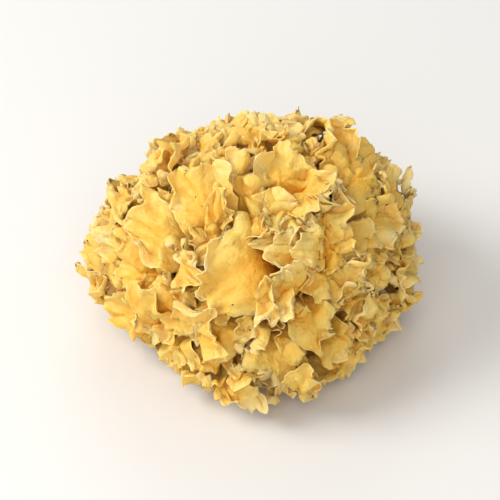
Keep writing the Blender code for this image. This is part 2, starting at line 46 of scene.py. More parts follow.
def say(stage):
    print(f"snow fungus: {stage} ({time.time() - startTime:.0f} s)")


def unit(vectors):
    # vectors of length one
    return vectors / np.maximum(np.linalg.norm(vectors, axis=-1, keepdims=True), 1e-12)


def wayAlong(points):
    # how far each point lies along its line
    return np.concatenate([[0.0], np.cumsum(np.linalg.norm(np.diff(points, axis=0), axis=1))])


def normalsOf(points):
    # unit normals of a grid of points
    return unit(np.cross(np.gradient(points, axis=0), np.gradient(points, axis=1)))


def smoothStep(x):
    # 0 below 0, 1 above 1, and three x squared minus two x cubed in between
    x = np.clip(x, 0.0, 1.0)
    return x * x * (3 - 2 * x)


def heading(azimuth, polar):
    # the unit vector at an azimuth from +X and a polar angle from +Z, in degrees
    a, p = math.radians(azimuth), math.radians(polar)
    return np.array([math.sin(p) * math.cos(a), math.sin(p) * math.sin(a), math.cos(p)])


waveSpread = (0.75, 1.35)  # of the waves of a sum, as shares of the size


def bell(headings, azimuth, polar, width):
    # e to a power that falls with the angle from one heading to minus one at the width, in degrees
    return np.exp((headings @ heading(azimuth, polar) - 1) / (1 - math.cos(math.radians(width))))


# The whole clump is an uneven dome round its heart, the point that the fronds grow away from.
clump = {
    "heart": np.array([0.0, 0.0, 10.5]),
    "halfWidth": 31.2,
    "halfDepth": 29.0,
    "rise": 31.6,  # from the heart to the top
    "droop": 14.0,  # from the heart down
    "rootRadius": 8.85,  # of the ball that the roots start on
    "spread": 0.03,  # how far past the dome the rims end
    # bulges and dents: azimuth and polar angle, width in degrees, height as a share of the dome's size
    "bulges": (
        (29, 50, 32, 0.09),
        (150, 46, 38, -0.10),
        (-178, 74, 28, 0.04),
        (-142, 90, 34, -0.19),
        (-84, 92, 22, 0.06),
        (-36, 92, 26, -0.08),
        (-60, 30, 30, 0.03),
        (70, 40, 24, -0.05),
        (110, 80, 26, 0.05),
    ),
}
heart = clump["heart"]


def domeRadius(headings, depth):
    # an ellipsoid's radius along each heading, times one plus a bell curve for each bulge, mixed by depth
    # with the radius round the roots: depth 0 is the roots, depth 1 the full size
    halfSizes = np.empty(headings.shape)
    halfSizes[..., 0] = clump["halfWidth"]
    halfSizes[..., 1] = clump["halfDepth"]
    halfSizes[..., 2] = np.where(headings[..., 2] < 0, clump["droop"], clump["rise"])
    full = 1.0 / np.linalg.norm(headings / halfSizes, axis=-1)
    uneven = 1.0
    for azimuth, polar, width, height in clump["bulges"]:
        uneven = uneven + height * bell(headings, azimuth, polar, width)
    return clump["rootRadius"] + (full * uneven - clump["rootRadius"]) * depth


def onDome(way):
    # the point of the full dome in one direction
    return heart + domeRadius(way, 1.0) * way


# Each frond: azimuth from +X, polar angle from straight up, roll of its root line, rim length, reach.
fronds = {
    "frond_crown_left": (168, 20, 70, 100, 1.00),
    "frond_crown_right": (-22, 20, 25, 103, 0.98),
    "frond_crown_front": (-108, 27, 95, 95, 0.97),
    "frond_crown_back": (74, 30, 10, 103, 0.98),
    "frond_shoulder_left": (176, 52, 80, 109, 0.98),
    "frond_left": (-149, 56, 15, 109, 1.00),
    "frond_middle": (-108, 55, 160, 78, 0.95),
    "frond_curl": (-73, 52, 60, 100, 0.98),
    "frond_shoulder_right": (-37, 50, 105, 109, 0.97),
    "frond_flap": (22, 48, 30, 90, 1.00),
    "frond_back_right": (71, 59, 75, 109, 0.98),
    "frond_back_left": (126, 54, 20, 109, 0.99),
    "frond_skirt_left": (-127, 80, 110, 97, 0.97),
    "frond_hanging": (-87, 81, 85, 88, 0.99),
    "frond_skirt_right": (-50, 79, 70, 97, 0.97),
    "frond_right": (-9, 74, 95, 109, 1.00),
    "frond_skirt_back_right": (36, 81, 100, 97, 0.97),
    "frond_skirt_back": (92, 83, 70, 97, 0.98),
    "frond_skirt_back_left": (142, 82, 105, 97, 0.97),
    "frond_skirt_side": (-171, 81, 75, 97, 0.98),
}

frondAxes = np.array([heading(azimuth, polar) for azimuth, polar, *others in fronds.values()])

# How the fronds grow: a line starts on the holdfast's head and moves out on a dome that swells around it,
# while it gets several times longer than there is room for, so that it folds.
growing = {
    "seed": 43,
    "steps": 360,
    "records": 40,  # of the lines on their way out
    "firstNodes": 11,
    "nodeSpacing": 1.5,
    "lengthPower": 1.3,  # above 1 the lines lengthen late
    "rootLength": 4.0,
    "rootBow": 0.05,
    "rootGap": 2.4,  # between folds at the roots, and at the rims
    "rimGap": 3.6,
    "push": 0.9,
    "wideReach": 2.2,  # a weaker push reaches this many gaps
    "widePush": 0.3,
    "bendRoom": 0.6,
    "stiffness": 2,
    "stretchPasses": 3,
    "stretch": 0.35,
    "wander": 0.06,  # seeded pulls, one for every wanderSpan nodes
    "wanderSpan": 12,
    "borderPlay": 3.0,  # how far a fold may stray into a neighbour's cell
    "borderPull": 0.25,
    "mostStrayed": 3.0,
    "lowest": 1.8,  # height below which lines are lifted, by this share
    "lift": 0.7,
}


def ontoDome(lines, depth):
    # lines moved straight out from the heart onto the dome of one depth, and up where they near the ground
    headings = unit(lines - heart)
    radius = domeRadius(headings, depth)
    below = growing["lowest"] - heart[2] - headings[..., 2] * radius
    lift = growing["lift"] * np.maximum(below, 0.0) / radius
    headings = unit(headings + lift[..., None] * np.array([0.0, 0.0, 1.0]))
    return heart + domeRadius(headings, depth)[..., None] * headings


def rootLines(random):
    # short, slightly bent lines on the holdfast's head: an axis, plus steps along a rolled level direction,
    # plus a bow of three seeded waves across it
    alongLine = np.linspace(-0.5, 0.5, growing["firstNodes"])
    lines = []
    for azimuth, polar, roll, rimLength, reach in fronds.values():
        axis = heading(azimuth, polar)
        level = unit(np.cross([0.0, 0.0, 1.0], axis))
        turn = math.radians(roll)
        along = math.cos(turn) * level + math.sin(turn) * np.cross(axis, level)
        bends = growing["rootBow"] * random.normal(size=3)
        bow = bends[0] * np.cos(2 * np.pi * alongLine) + bends[1] * np.sin(2 * np.pi * alongLine)
        bow = bow + bends[2] * np.sin(4 * np.pi * alongLine)
        ahead = alongLine[:, None] * along * growing["rootLength"] / clump["rootRadius"]
        lines.append(axis + ahead + bow[:, None] * np.cross(axis, along))
    return ontoDome(heart + clump["rootRadius"] * unit(np.array(lines)), 0.0)


def addMiddles(lines):
    # a node more between each two: nine sixteenths of the near two minus one sixteenth of the far two
    count = lines.shape[1]
    finer = np.empty((len(lines), 2 * count - 1, 3))
    finer[:, ::2] = lines
    finer[:, 1::2] = 0.5 * (lines[:, 1:] + lines[:, :-1])
    near = lines[:, 1:-2] + lines[:, 2:-1]
    far = lines[:, :-3] + lines[:, 3:]
    finer[:, 3:-3:2] = (9 * near - far) / 16
    return finer


def nearPairs(lines, spacing, gap):
    # pairs of nodes closer than the gap or, on one frond, than a share of the way along the line between
    # them, from squared distances
    count = lines.shape[1]
    nodes = lines.reshape(-1, 3)
    squares = (nodes**2).sum(axis=1)
    apart = squares[:, None] + squares[None] - 2 * nodes @ nodes.T
    first, second = np.nonzero(np.triu(apart < gap**2, 2))
    along = np.where(first // count == second // count, (second - first) * spacing[first // count], np.inf)
    wanted = np.minimum(gap, growing["bendRoom"] * along)
    close = apart[first, second] < wanted**2
    return first[close], second[close], wanted[close]


def pushApart(lines, pairs, push):
    # moves both nodes of each pair apart by a share of what they lack, less where many crowd round one
    nodes = lines.reshape(-1, 3)
    first, second, wanted = pairs
    between = nodes[first] - nodes[second]
    distance = np.linalg.norm(between, axis=1) + 1e-9
    strength = 0.5 * push * np.maximum(wanted - distance, 0.0) / distance
    move = np.zeros_like(nodes)
    for axis in range(3):
        shove = strength * between[:, axis]
        move[:, axis] = np.bincount(first, shove, len(nodes)) - np.bincount(second, shove, len(nodes))
    crowd = np.bincount(np.concatenate([first, second]), minlength=len(nodes))
    return lines + (move / np.maximum(1.0, 0.5 * crowd)[:, None]).reshape(lines.shape)


def keepInCell(lines):
    # draws back the nodes that are nearer to another frond's axis than to their own
    ownFrond = np.arange(len(frondAxes))
    outwards = lines - heart
    headings = unit(outwards)
    likeness = headings @ frondAxes.T
    own = likeness[ownFrond, :, ownFrond]
    likeness[ownFrond, :, ownFrond] = -2.0
    strayed = (likeness.max(axis=-1) - own) * np.linalg.norm(outwards, axis=-1) - growing["borderPlay"]
    pull = growing["borderPull"] * np.clip(strayed, 0.0, growing["mostStrayed"])
    return lines + pull[..., None] * (frondAxes[:, None] - own[..., None] * headings)


def stiffen(lines):
    # evens out bends: half of each node plus a quarter of both its neighbours
    for repeat in range(growing["stiffness"]):
        lines = lines.copy()
        lines[:, 1:-1] = 0.5 * lines[:, 1:-1] + 0.25 * (lines[:, 2:] + lines[:, :-2])
    return lines


def lengthen(lines, spacing):
    # moves neighbouring nodes to the distance that the frond has grown to, the odd gaps, then the even
    lines = lines.copy()
    for repeat in range(growing["stretchPasses"]):
        for start in (0, 1):
            after = lines[:, start + 1 :: 2]
            before = lines[:, start:-1:2][:, : after.shape[1]]
            step = after - before
            length = np.linalg.norm(step, axis=-1, keepdims=True) + 1e-9
            change = growing["stretch"] * (length - spacing[:, None, None]) / length * step
            before += change
            after -= change
    return lines


def growFronds():
    # all fronds grow together; gives their lines at every recorded depth, as headings from the heart
    random = np.random.default_rng(growing["seed"])
    rimLengths = np.array([frond[3] for frond in fronds.values()], float)
    lines = rootLines(random)
    records = [lines]
    steps = growing["steps"]
    for step in range(1, steps + 1):
        depth = step / steps
        grown = depth ** growing["lengthPower"]
        lengths = growing["rootLength"] + (rimLengths - growing["rootLength"]) * grown
        if np.mean(lengths) > growing["nodeSpacing"] * (lines.shape[1] - 1):
            lines = addMiddles(lines)
        spacing = lengths / (lines.shape[1] - 1)
        gap = growing["rootGap"] + (growing["rimGap"] - growing["rootGap"]) * depth
        knots = max(2, lines.shape[1] // growing["wanderSpan"])
        pulls = random.normal(size=(len(lines), knots + 1, 3))
        places = np.linspace(0, knots, lines.shape[1])
        before = np.minimum(places.astype(int), knots - 1)
        blend = (places - before)[None, :, None]
        lines = lines + growing["wander"] * ((1 - blend) * pulls[:, before] + blend * pulls[:, before + 1])
        lines = pushApart(lines, nearPairs(lines, spacing, growing["wideReach"] * gap), growing["widePush"])
        lines = pushApart(lines, nearPairs(lines, spacing, gap), growing["push"])
        lines = lengthen(stiffen(keepInCell(lines)), spacing)
        lines = ontoDome(lines, depth)
        if step * growing["records"] // steps > (step - 1) * growing["records"] // steps:
            records.append(lines)
    for place, record in enumerate(records):
        while record.shape[1] < lines.shape[1]:
            record = addMiddles(record)
        records[place] = unit(record - heart)
    return np.stack(records, axis=1)


# How the sheets lean over near the rim. Each swirl: reach and width in mm, how late it acts, its seed.
leaning = {
    "swirls": ((8.0, 34.0, 2.0, 11), (3.2, 17.0, 2.6, 12)),
    "waves": 6,
    "steps": 6,
    "calmEnd": -0.27,
    "calmBand": 0.42,
}


def splineWeights(places, count):
    # the four nearest points of a row and their weights in a cubic B-spline
    first = np.clip(np.floor(places).astype(int), 0, count - 2)
    rest = places - first
    weights = (
        (1 - rest) ** 3 / 6,
        (3 * rest**3 - 6 * rest**2 + 4) / 6,
        (-3 * rest**3 + 3 * rest**2 + 3 * rest + 1) / 6,
        rest**3 / 6,
    )
    return [(np.clip(first + shift, 0, count - 1), weight) for shift, weight in zip((-1, 0, 1, 2), weights)]


def lineHeadings(record, moment, u):
    # headings of one frond at moments in its growth and places along its line, smooth both ways
    found = 0.0
    for row, rowWeight in splineWeights(moment * (record.shape[0] - 1), record.shape[0]):
        for column, columnWeight in splineWeights(u * (record.shape[1] - 1), record.shape[1]):
            found = found + (rowWeight * columnWeight)[..., None] * record[row, column]
    return unit(found)


def lean(headings, depth):
    # turns headings over as they near the dome: a sum of seeded sine waves, each turning about its own
    # axis, the same for all fronds, so that neighbours nest and never cross
    for reach, width, lateness, seed in leaning["swirls"]:
        for repeat in range(leaning["steps"]):
            random = np.random.default_rng(seed)
            flow = 0.0
            for wave in range(leaning["waves"]):
                across = unit(random.normal(size=3)) * 2 * np.pi * clump["halfWidth"]
                across = across / (width * random.uniform(*waveSpread))
                turnAxis = unit(random.normal(size=3))
                swing = np.sin(headings @ across + random.uniform(0, 2 * np.pi))
                flow = flow + swing[..., None] * np.cross(turnAxis, headings)
            calm = np.clip((headings[..., 2:] - leaning["calmEnd"]) / leaning["calmBand"], 0.0, 1.0)
            strength = reach / clump["halfWidth"] / math.sqrt(leaning["waves"]) / leaning["steps"]
            headings = unit(headings + strength * calm * depth[..., None] ** lateness * flow)
    return headings


# The sheets: how fine their grids are, their thickness, and how their rims are cut, ruffled and crumpled.
sheet = {
    "rows": 18,
    "columns": 290,
    "climb": 26.0,  # mm from root to rim
    "rowPower": 1.5,  # above 1 the rows stand closer near the rim
    "firstMoment": 0.5,
    "rimEvenness": 0.75,  # how much the finished rim spaces the columns, not the grown line
    "rootThickness": 0.4,
    "rimThickness": 0.16,
    "thickening": 14.0,  # mm from the rim to the full thickness
    "rimSamples": 1601,
    "rimSeed": 500,
    # lobes of a rim: their number, and how deep the cuts between them are, as a share of the length
    "lobes": ((3, 0.10), (8, 0.09)),
    "lobeDrift": 0.4,
    "lobeDriftRate": 2.3,
    "lobeSeed": 70,
    # teeth of the torn rim: spacing along it and depth, in mm
    "teeth": ((5.3, 0.8), (2.7, 0.5), (1.3, 0.25)),
    "toothDrift": 0.35,
    "toothDriftSpan": 4.3,  # in teeth, as the next one
    "toothPatch": 0.6,  # how much shallower they get in patches
    "toothPatchSpan": 5.7,
    # ruffles: wavelength, height, and how far in from the rim they reach, in mm
    "ruffles": ((8.5, 1.4, 6.0), (4.6, 1.25, 3.8), (2.6, 0.62, 2.4), (1.5, 0.2, 1.3)),
    "ruffleCrispness": 0.9,
    "ruffleDrift": 0.5,
    "ruffleDriftRate": 0.13,
    "ruffleSlant": 0.12,
    "rufflePatch": 0.45,
    "rufflePatchRate": 0.23,
    # crumples that all sheets share: size and height in mm, seed, and how fast they fade to the roots
    "crumples": ((9.0, 0.7, 5, 1.4), (4.2, 0.42, 6, 1.0), (2.1, 0.27, 7, 0.6), (1.05, 0.1, 8, 0.5)),
    "crumpleWaves": 7,
    "crispness": 0.985,  # near 1 the crumples have sharp creases
    "calmHeight": 2.0,  # below this height the sheets level out, down to the clearance
    "clearance": 0.6,
    # where there are fine frills, or smooth sheets: azimuth, polar angle, width in degrees, factor
    "frilliness": (
        (-35, 32, 16, 1.5),
        (-13, 62, 20, 1.4),
        (150, 52, 20, 1.4),
        (-45, 84, 18, 1.35),
        (-98, 50, 12, 0.6),
        (-128, 28, 12, 0.7),
    ),
}


def gentleCut(place, u):
    # share of a frond's length that is missing between its lobes: |sin| arches along the rim, which drift
    random = np.random.default_rng(sheet["lobeSeed"] + place)
    cut = 0.0
    for rate, share in sheet["lobes"]:
        wave = np.sin(2 * np.pi * (sheet["lobeDriftRate"] * u + random.uniform()))
        placeAlong = rate * u + random.uniform() + sheet["lobeDrift"] * wave
        cut = cut + share * (1 - np.abs(np.sin(np.pi * placeAlong)))
    return cut


def grownPoints(record, depth, u):
    # the grown sheet: its heading at each place and moment, leant over, times the dome's radius there
    moment = sheet["firstMoment"] + (1 - sheet["firstMoment"]) * depth
    headings = lean(lineHeadings(record, moment, u), depth)
    radius = domeRadius(headings, depth) * (1 + clump["spread"] * depth)
    return heart + radius[..., None] * headings


def unfold(points, fan, out, up):
    # points moved over the dome: out along the fan at the same share of the dome's radius, and up
    away = points - heart
    turned = unit(away + out[..., None] * fan)
    swell = domeRadius(turned, 1.0) / domeRadius(unit(away), 1.0)
    return heart + (np.linalg.norm(away, axis=-1) * swell + up)[..., None] * turned


# Petals: lobes that unfold from an outer bend of a rim and lie over their neighbours. The main ones:
# azimuth and polar angle of where they rise and of where they point, and their length in mm.
petals = {
    "main": {
        "saddle": (-78, 38, -113, 54, 12.0),
        "bigFlap": (2, 32, 21, 63, 11.0),
        "knobLeaf": (-131, 22, 122, 35, 9.0),
        "leftLobe": (-146, 53, -175, 72, 9.0),
        "lowerLeftFlap": (-121, 54, -135, 73, 9.0),
        "hangingLobe": (-82, 66, -80, 83, 8.0),
        "squareFlap": (-66, 55, -55, 69, 8.0),
        "roseCurl": (-80, 50, -81, 59, 5.0),
        "upperMiddle": (-2, 11, -60, 18, 8.0),
        "bottomSheet": (-101, 66, -103, 79, 8.0),
        "middleRight": (-29, 30, -56, 35, 7.0),
    },
    "pointing": 9.0,  # mm off its place that pointing the right way is worth
    "seed": 5,
    "lengths": ((7.5, 10.0), (5.5, 7.5), (3.5, 5.5)),  # the long ones take their places first
    "most": 5,  # on one frond
    "curls": (-15, 60),  # of the tips, in degrees
    "rimSamples": 2001,
    "rimStep": 0.1,
    "softening": 23,  # steps over which a rim is smoothed to read its bends
    "bendWindow": 2.0,
    "leastBend": 0.2,  # per mm
    "narrowestRoot": 2.0,
    "widestSide": 5.5,
    "mostTurn": 78.0,  # degrees from a bend's middle to the end of a petal's root
    "leastTurn": 0.03,
    "bendRadii": (1.2, 4.0),
    "rounding": 0.75,  # of a petal's outline: the power of its sine, and where that starts
    "end": 0.12,
    "levels": (1.2, 2.6, 4.0),  # how high over the dome petals lie that overlap
    "room": 1.5,  # mm between petals on one level, and between their roots
    "rootRoom": 0.75,
    "rootMargin": 2.4,
    "lowest": 2.0,
    "alongStep": 1.0,  # between the points that stand for a petal
    "outStep": 1.5,
    "firstShare": 0.2,
}


def sampleRim(record):
    # a frond's full rim at even steps, with its tangents and its bends: the change of tangent per mm,
    # without the part that points away from the heart
    u = np.linspace(0, 1, petals["rimSamples"])
    points = grownPoints(record, np.ones(len(u)), u)
    way = wayAlong(points)
    even = np.arange(0.0, way[-1], petals["rimStep"])
    points = np.stack([np.interp(even, way, points[:, axis]) for axis in range(3)], axis=1)
    soft = np.hanning(petals["softening"])
    soft = soft / soft.sum()
    side = petals["softening"] // 2
    padded = np.pad(points, ((side, side), (0, 0)), mode="edge")
    calm = np.stack([np.convolve(padded[:, axis], soft, mode="valid") for axis in range(3)], axis=1)
    tangents = unit(np.gradient(calm, axis=0))
    outwards = unit(calm - heart)
    bends = np.gradient(tangents, axis=0) / petals["rimStep"]
    bends = bends - (bends * outwards).sum(axis=1, keepdims=True) * outwards
    u = np.interp(even, way, u)
    u[-1] = 1.0
    return {"u": u, "points": points, "tangents": tangents, "outwards": outwards, "bends": bends}


def outerBends(place, rim):
    # every outer bend that can bear a petal: the sharpest within a window. Its root reaches to where the
    # rim has turned too far or bends the other way; it fans out from the bend's middle, rounded by a sine.
    sharpness = np.linalg.norm(rim["bends"], axis=1)
    turn = (np.cross(rim["tangents"], rim["bends"]) * rim["outwards"]).sum(axis=1)
    side = round(petals["widestSide"] / petals["rimStep"])
    window = round(petals["bendWindow"] / petals["rimStep"])
    margin = round(petals["rootMargin"] / petals["rimStep"])
    found = []
    for at in range(side, len(sharpness) - side):
        if sharpness[at] < max(petals["leastBend"], sharpness[at - window : at + window + 1].max()):
            continue
        past = rim["tangents"] @ rim["tangents"][at] < math.cos(math.radians(petals["mostTurn"]))
        past |= turn * np.sign(turn[at]) < petals["leastTurn"]
        before = np.nonzero(past[:at])[0]
        after = np.nonzero(past[at:])[0]
        left = max(at - side, before[-1] if len(before) else 0)
        right = min(at + side, at + after[0] if len(after) else len(sharpness) - 1)
        if right - left < petals["narrowestRoot"] / petals["rimStep"]:
            continue
        steps = np.arange(left, right + 1)
        share = np.where(steps < at, (steps - left) / max(at - left, 1), (right - steps) / max(right - at, 1))
        pointing = -unit(rim["bends"][at])
        radius = np.clip(1 / sharpness[at], *petals["bendRadii"])
        fan = rim["points"][steps] - rim["points"][at] + radius * pointing
        outwards = rim["outwards"][steps]
        found.append({
            "frond": place,
            "point": rim["points"][at],
            "pointing": pointing,
            "bell": np.sin(0.5 * np.pi * (petals["end"] + (1 - petals["end"]) * share)) ** petals["rounding"],
            "fan": unit(fan - (fan * outwards).sum(axis=1, keepdims=True) * outwards),
            "root": rim["points"][steps],
            "foot": rim["points"][max(left - margin, 0) : right + margin + 1 : margin // 2],
        })
    return found


def footprint(bend, length):
    # points all over the part of the dome that a petal covers
    some = slice(None, None, round(petals["alongStep"] / petals["rimStep"]))
    shares = np.linspace(petals["firstShare"], 1.0, round(length / petals["outStep"]))
    out = shares[:, None] * length * bend["bell"][some]
    root = np.broadcast_to(bend["root"][some], out.shape + (3,))
    fan = np.broadcast_to(bend["fan"][some], out.shape + (3,))
    return unfold(root, fan, out, np.zeros(out.shape)).reshape(-1, 3)


def apart(first, second):
    # the least distance between two sets of points
    return np.sqrt(((first[:, None] - second[None]) ** 2).sum(axis=-1).min())


def freeLevel(bend, length, chosen, most):
    # the lowest free level: a petal that rises under another one stays below it, and two that only overlap
    # take different levels; none where there is no room
    covered = footprint(bend, length)
    full = sum(petal["frond"] == bend["frond"] for petal in chosen) >= most
    if full or covered[:, 2].min() < petals["lowest"]:
        return None
    below, above, taken = len(petals["levels"]), -1, set()
    for petal in chosen:
        reach = length + petal["length"] + 2 * petals["widestSide"]
        if np.linalg.norm(petal["point"] - bend["point"]) > reach:
            continue
        if apart(bend["foot"], petal["foot"]) < petals["rootRoom"]:
            return None
        if apart(bend["foot"], petal["covered"]) < petals["room"]:
            below = min(below, petal["level"])
        if apart(covered, petal["foot"]) < petals["room"]:
            above = max(above, petal["level"])
        if apart(covered, petal["covered"]) < petals["room"]:
            taken.add(petal["level"])
    free = [level for level in range(above + 1, below) if level not in taken]
    return free[0] if free else None


def choosePetals(rims):
    # The main petals take the bends that lie and point best, then seeded ones the room that is left. It
    # gives the seeded ones: the main ones have sheets of their own.
    random = np.random.default_rng(petals["seed"])
    curling = np.random.default_rng(petals["seed"] + 1)
    bends = [bend for place, rim in enumerate(rims) for bend in outerBends(place, rim)]
    chosen = []

    def take(bend, length, curl, most):
        level = freeLevel(bend, length, chosen, most)
        if level is not None:
            covered = footprint(bend, length)
            chosen.append(dict(bend, length=length, level=level, covered=covered, curl=curl))
        return level is not None

    for azimuth, polar, toAzimuth, toPolar, length in petals["main"].values():
        start = onDome(heading(azimuth, polar))
        wanted = unit(onDome(heading(toAzimuth, toPolar)) - start)
        misses = [
            np.linalg.norm(bend["point"] - start) + petals["pointing"] * (1 - bend["pointing"] @ wanted)
            for bend in bends
        ]
        for index in np.argsort(misses):
            if take(bends[index], length, 0, petals["most"]):
                break
    for lengths in petals["lengths"]:
        for index in random.permutation(len(bends)):
            take(bends[index], random.uniform(*lengths), curling.uniform(*petals["curls"]), petals["most"])
    return chosen[len(petals["main"]) :]


# The main sheets of the photograph, and some that close the gaps between them: where they rise and where
# they point as above, length, width and height over the dome in mm, and the curl of the tip in degrees.
mainSheets = {
    "saddle": (-74, 41, -122, 62, 18.0, 20.0, 1.8, 6),
    "knobLeaf": (-112, 34, 165, 26, 15.0, 12.0, 1.6, 32),
    "verticalLeaf": (-110, 35, -116, 19, 8.5, 4.5, 2.6, 60),
    "leftSheet": (-130, 42, -170, 61, 13.0, 13.0, 1.6, 18),
    "leftLobe": (-138, 59, -168, 76, 11.0, 12.0, 1.0, 12),
    "lowerLeftFlap": (-118, 60, -134, 82, 10.5, 12.0, 1.2, 0),
    "bigFlap": (-20, 32, 14, 52, 15.0, 13.0, 1.8, 15),
    "curledLoop": (-10, 33, 34, 33, 12.0, 9.0, 1.0, 80),
    "upperMiddle": (-61, 22, 30, 9, 10.0, 12.0, 1.0, 62),
    "upperRight": (-54, 33, -28, 40, 9.0, 8.0, 1.6, 40),
    "roseCurlUpper": (-79, 55, -84, 46, 5.5, 8.0, 2.2, 80),
    "roseCurlLower": (-80, 53, -77, 66, 7.0, 8.0, 2.4, 66),
    "squareFlap": (-69, 61, -60, 78, 9.5, 9.0, 2.0, 8),
    "hangingLobe": (-83, 71, -81, 90, 9.5, 10.0, 1.2, -10),
    "bottomSheet": (-99, 62, -103, 80, 10.0, 12.0, 0.8, 0),
    "middleRight": (-54, 46, -34, 52, 8.0, 9.0, 1.4, 45),
    "middleFold": (-96, 28, -58, 34, 10.0, 10.0, 0.2, 24),
    "saddleBack": (-58, 45, -92, 38, 9.0, 10.0, 0.8, 22),
    "saddleSide": (-102, 35, -132, 47, 8.5, 9.0, 0.3, 10),
    "middleTop": (-52, 24, -84, 37, 9.0, 10.0, 0.7, 14),
    "middleFront": (-64, 33, -92, 34, 8.0, 6.5, 0.2, 18),
    "lowerFront": (-74, 70, -66, 86, 7.5, 8.5, -0.2, 4),
    "crownBack": (100, 12, 84, 34, 9.0, 10.0, 1.4, 35),
    "rightFlap": (-27, 46, -8, 56, 11.0, 9.0, 1.2, 15),
    "lowerRight": (-59, 76, -48, 86, 8.0, 9.0, 1.0, 10),
}


def freePetal(way, pointing, length, width, height, curl):
    # a petal that rises from the dome in one direction, on the frond whose axis is nearest
    return {
        "frond": int(np.argmax(frondAxes @ way)),
        "point": onDome(way),
        "pointing": pointing,
        "length": length,
        "width": width,
        "height": height,
        "curl": curl,
    }


def middleOf(petal):
    # half-way from a petal's root to its tip
    return petal["point"] + 0.5 * petal["length"] * petal["pointing"]


def addMainSheets(chosen):
    # the main sheets, and after them the petals that keep off them by a share of both their lengths
    laid = []
    for azimuth, polar, toAzimuth, toPolar, *shape in mainSheets.values():
        way = heading(azimuth, polar)
        laid.append(freePetal(way, unit(onDome(heading(toAzimuth, toPolar)) - onDome(way)), *shape))
    for petal in chosen:
        room = [
            np.linalg.norm(middleOf(other) - middleOf(petal)) / (other["length"] + petal["length"])
            for other in laid[: len(mainSheets)]
        ]
        if min(room) > petalSheet["mainRoom"]:
            laid.append(petal)
    return laid


# How a petal's own sheet is laid. Its root dips between the folds, and its rim is rounded, ruffled and cut.
petalSheet = {
    "rows": 20,
    "columns": 31,
    "seed": 900,
    "mainRoom": 0.25,  # how near a petal's middle may come to a main one's, over both their lengths
    "widths": (0.95, 1.35),  # of the petals at bends, as a share of their length
    "unevenness": ((2, 0.12), (5, 0.07)),  # of the rim: waves over half the width, and height
    "sink": 5.0,  # how deep the root dips, in mm, and over which share of the length
    "sinkShare": 0.28,
    "narrowing": 0.30,  # of the root
    "tipRounding": 0.34,
    "skew": 0.25,  # how far the tip may shift sideways, as a share of the width
    "sideRounding": (0.15, 0.75),  # of the sides: where a sine starts, and how far it runs
    "levelShare": 0.8,  # how much of its level in the solids a petal's middle keeps
    "levelEnd": 0.5,  # where the level and the folds are at their full height
    "foldEnd": 0.6,
    "foldCount": (0.7, 1.8),  # over half a petal's width, as the pleats
    "foldHeight": (0.3, 1.1),
    "pleatSeed": 4,
    "pleatCount": (1.6, 3.0),
    "pleatHeight": (0.06, 0.2),
    "pleatDrift": 0.25,
    "curlStart": 0.45,  # where a tip starts to curl, as a share of the length
    "rimRolls": (-30, 95),  # how far the outermost rim rolls over, in degrees
    "rollShare": 0.2,  # of the length
    "rollUnevenness": 0.4,
    "ruffleCentre": 0.3,  # the share of the length that the ruffles run around
    "cup": (-0.8, 1.2),  # how much higher or lower the sides lie than the middle
    "leastCrumpling": 0.3,  # at the root, as a share of the rim's
    "leastDepth": 0.4,  # of the root's colour and painted shade, on the way from a frond's root to its rim
    # the petals that fill what is bare, large ones first
    "fillSeed": 31,
    "fillWidths": (1.1, 2.0),
    "fillLengths": ((6.0, 8.5), (4.5, 6.5), (3.5, 5.0)),
    "fillTries": (260, 420, 500),
    "fillRoom": 0.62,
    "fillLevel": (-0.6, 0.9),
    "lowestHeading": -0.28,  # its upward part
    "lowestMiddle": 4.0,
    "downPull": 0.7,  # how much more they point down than any other way
}


def fillPetals(chosen):
    # more petals where the dome is still bare: seeded places that are far enough from all others
    random = np.random.default_rng(petalSheet["fillSeed"])
    centres = [middleOf(petal) for petal in chosen]
    lengths = [petal["length"] for petal in chosen]
    for span, tries in zip(petalSheet["fillLengths"], petalSheet["fillTries"]):
        for attempt in range(tries):
            way = unit(random.normal(size=3))
            length = random.uniform(*span)
            turn = random.uniform(0, 2 * np.pi)
            level = random.uniform(*petalSheet["fillLevel"])
            curl = random.uniform(*petals["curls"])
            if way[2] < petalSheet["lowestHeading"]:
                continue
            down = unit(np.cross(np.cross(way, [0, 0, -1.0]), way))
            across = np.cross(way, down)
            pointing = unit(math.cos(turn) * down + math.sin(turn) * across + petalSheet["downPull"] * down)
            centre = onDome(way) + 0.5 * length * pointing
            away = np.linalg.norm(np.array(centres) - centre, axis=1)
            crowded = (away < petalSheet["fillRoom"] * 0.5 * (np.array(lengths) + length)).any()
            if crowded or centre[2] < petalSheet["lowestMiddle"]:
                continue
            width = length * random.uniform(*petalSheet["fillWidths"])
            chosen.append(freePetal(way, pointing, length, width, level, curl))
            centres.append(centre)
            lengths.append(length)
    return chosen


